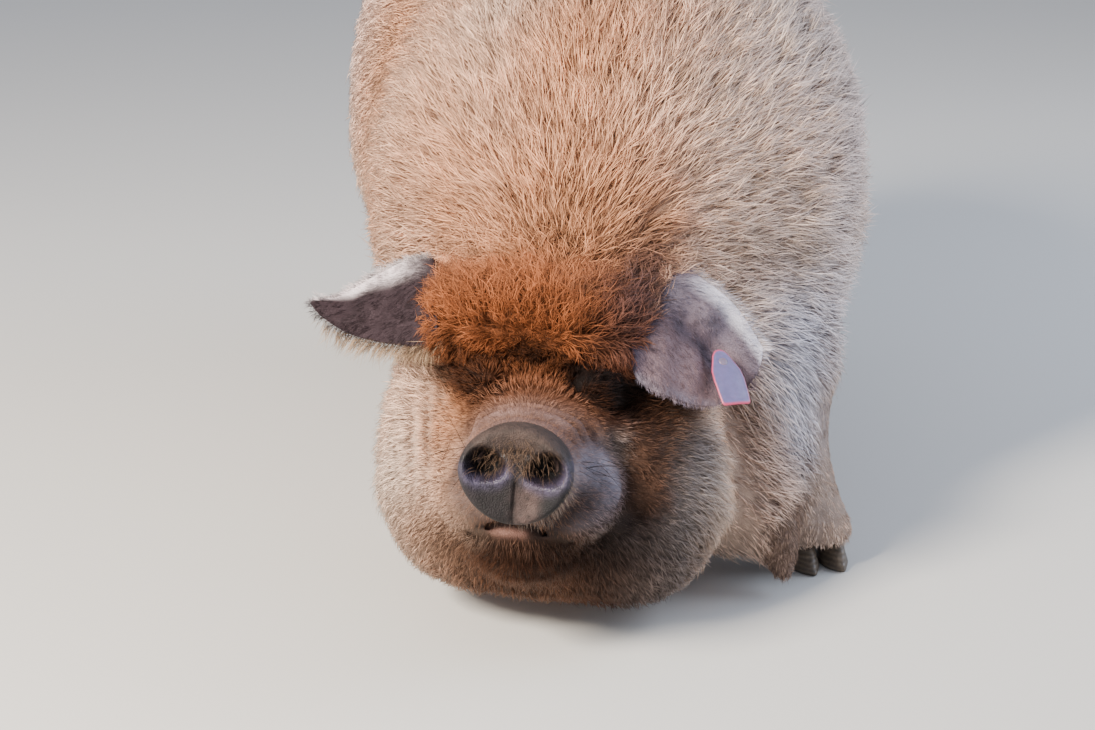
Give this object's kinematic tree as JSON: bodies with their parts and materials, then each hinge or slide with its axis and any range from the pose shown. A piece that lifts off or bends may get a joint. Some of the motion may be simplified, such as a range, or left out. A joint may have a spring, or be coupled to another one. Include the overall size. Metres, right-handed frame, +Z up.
{
  "type": "kunekune pig, standing with its head lowered, life-size still model",
  "caption": "Fat kunekune pig standing with its head lowered to the floor and turned a little to its right, with a ginger and cream coat and a blank tag in its left ear.",
  "frame": {"origin": "floor level, under the middle of the pig's bounding box", "axes": "+Z up; the pig faces -Y; its left side is +X"},
  "size_m": [0.5788, 1.175, 0.6489],
  "materials": {
    "coat": "long coarse hair, ginger on the forehead, cream on the body",
    "snout_skin": "dark grey skin with sparse bristles",
    "ear_skin": "grey-brown skin with short fine hair and a pale edge",
    "horn": "dark hoof horn, matt and scuffed",
    "eye": "wet dark brown eye",
    "tag": "faded pink translucent plastic, blank"
  },
  "bodies": {
    "root": {"barrel": "coat", "dewclaw_front_left_inner": "horn", "dewclaw_front_left_outer": "horn", "dewclaw_front_right_inner": "horn", "dewclaw_front_right_outer": "horn", "dewclaw_hind_left_inner": "horn", "dewclaw_hind_left_outer": "horn", "dewclaw_hind_right_inner": "horn", "dewclaw_hind_right_outer": "horn", "ear_left": "ear_skin", "ear_right": "ear_skin", "eye_left": "eye", "eye_right": "eye", "head": "coat", "hoof_front_left_inner": "horn", "hoof_front_left_outer": "horn", "hoof_front_right_inner": "horn", "hoof_front_right_outer": "horn", "hoof_hind_left_inner": "horn", "hoof_hind_left_outer": "horn", "hoof_hind_right_inner": "horn", "hoof_hind_right_outer": "horn", "jaw": "coat", "leg_front_left_lower": "coat", "leg_front_left_upper": "coat", "leg_front_right_lower": "coat", "leg_front_right_upper": "coat", "leg_hind_left_lower": "coat", "leg_hind_left_upper": "coat", "leg_hind_right_lower": "coat", "leg_hind_right_upper": "coat", "muzzle": "snout_skin", "neck": "coat", "rump": "coat", "shoulders": "coat", "snout_disc": "snout_skin", "tag_flag": "tag", "tag_pin": "tag", "tail": "coat", "tassel_left": "coat", "tassel_right": "coat"}
  },
  "joints": []
}
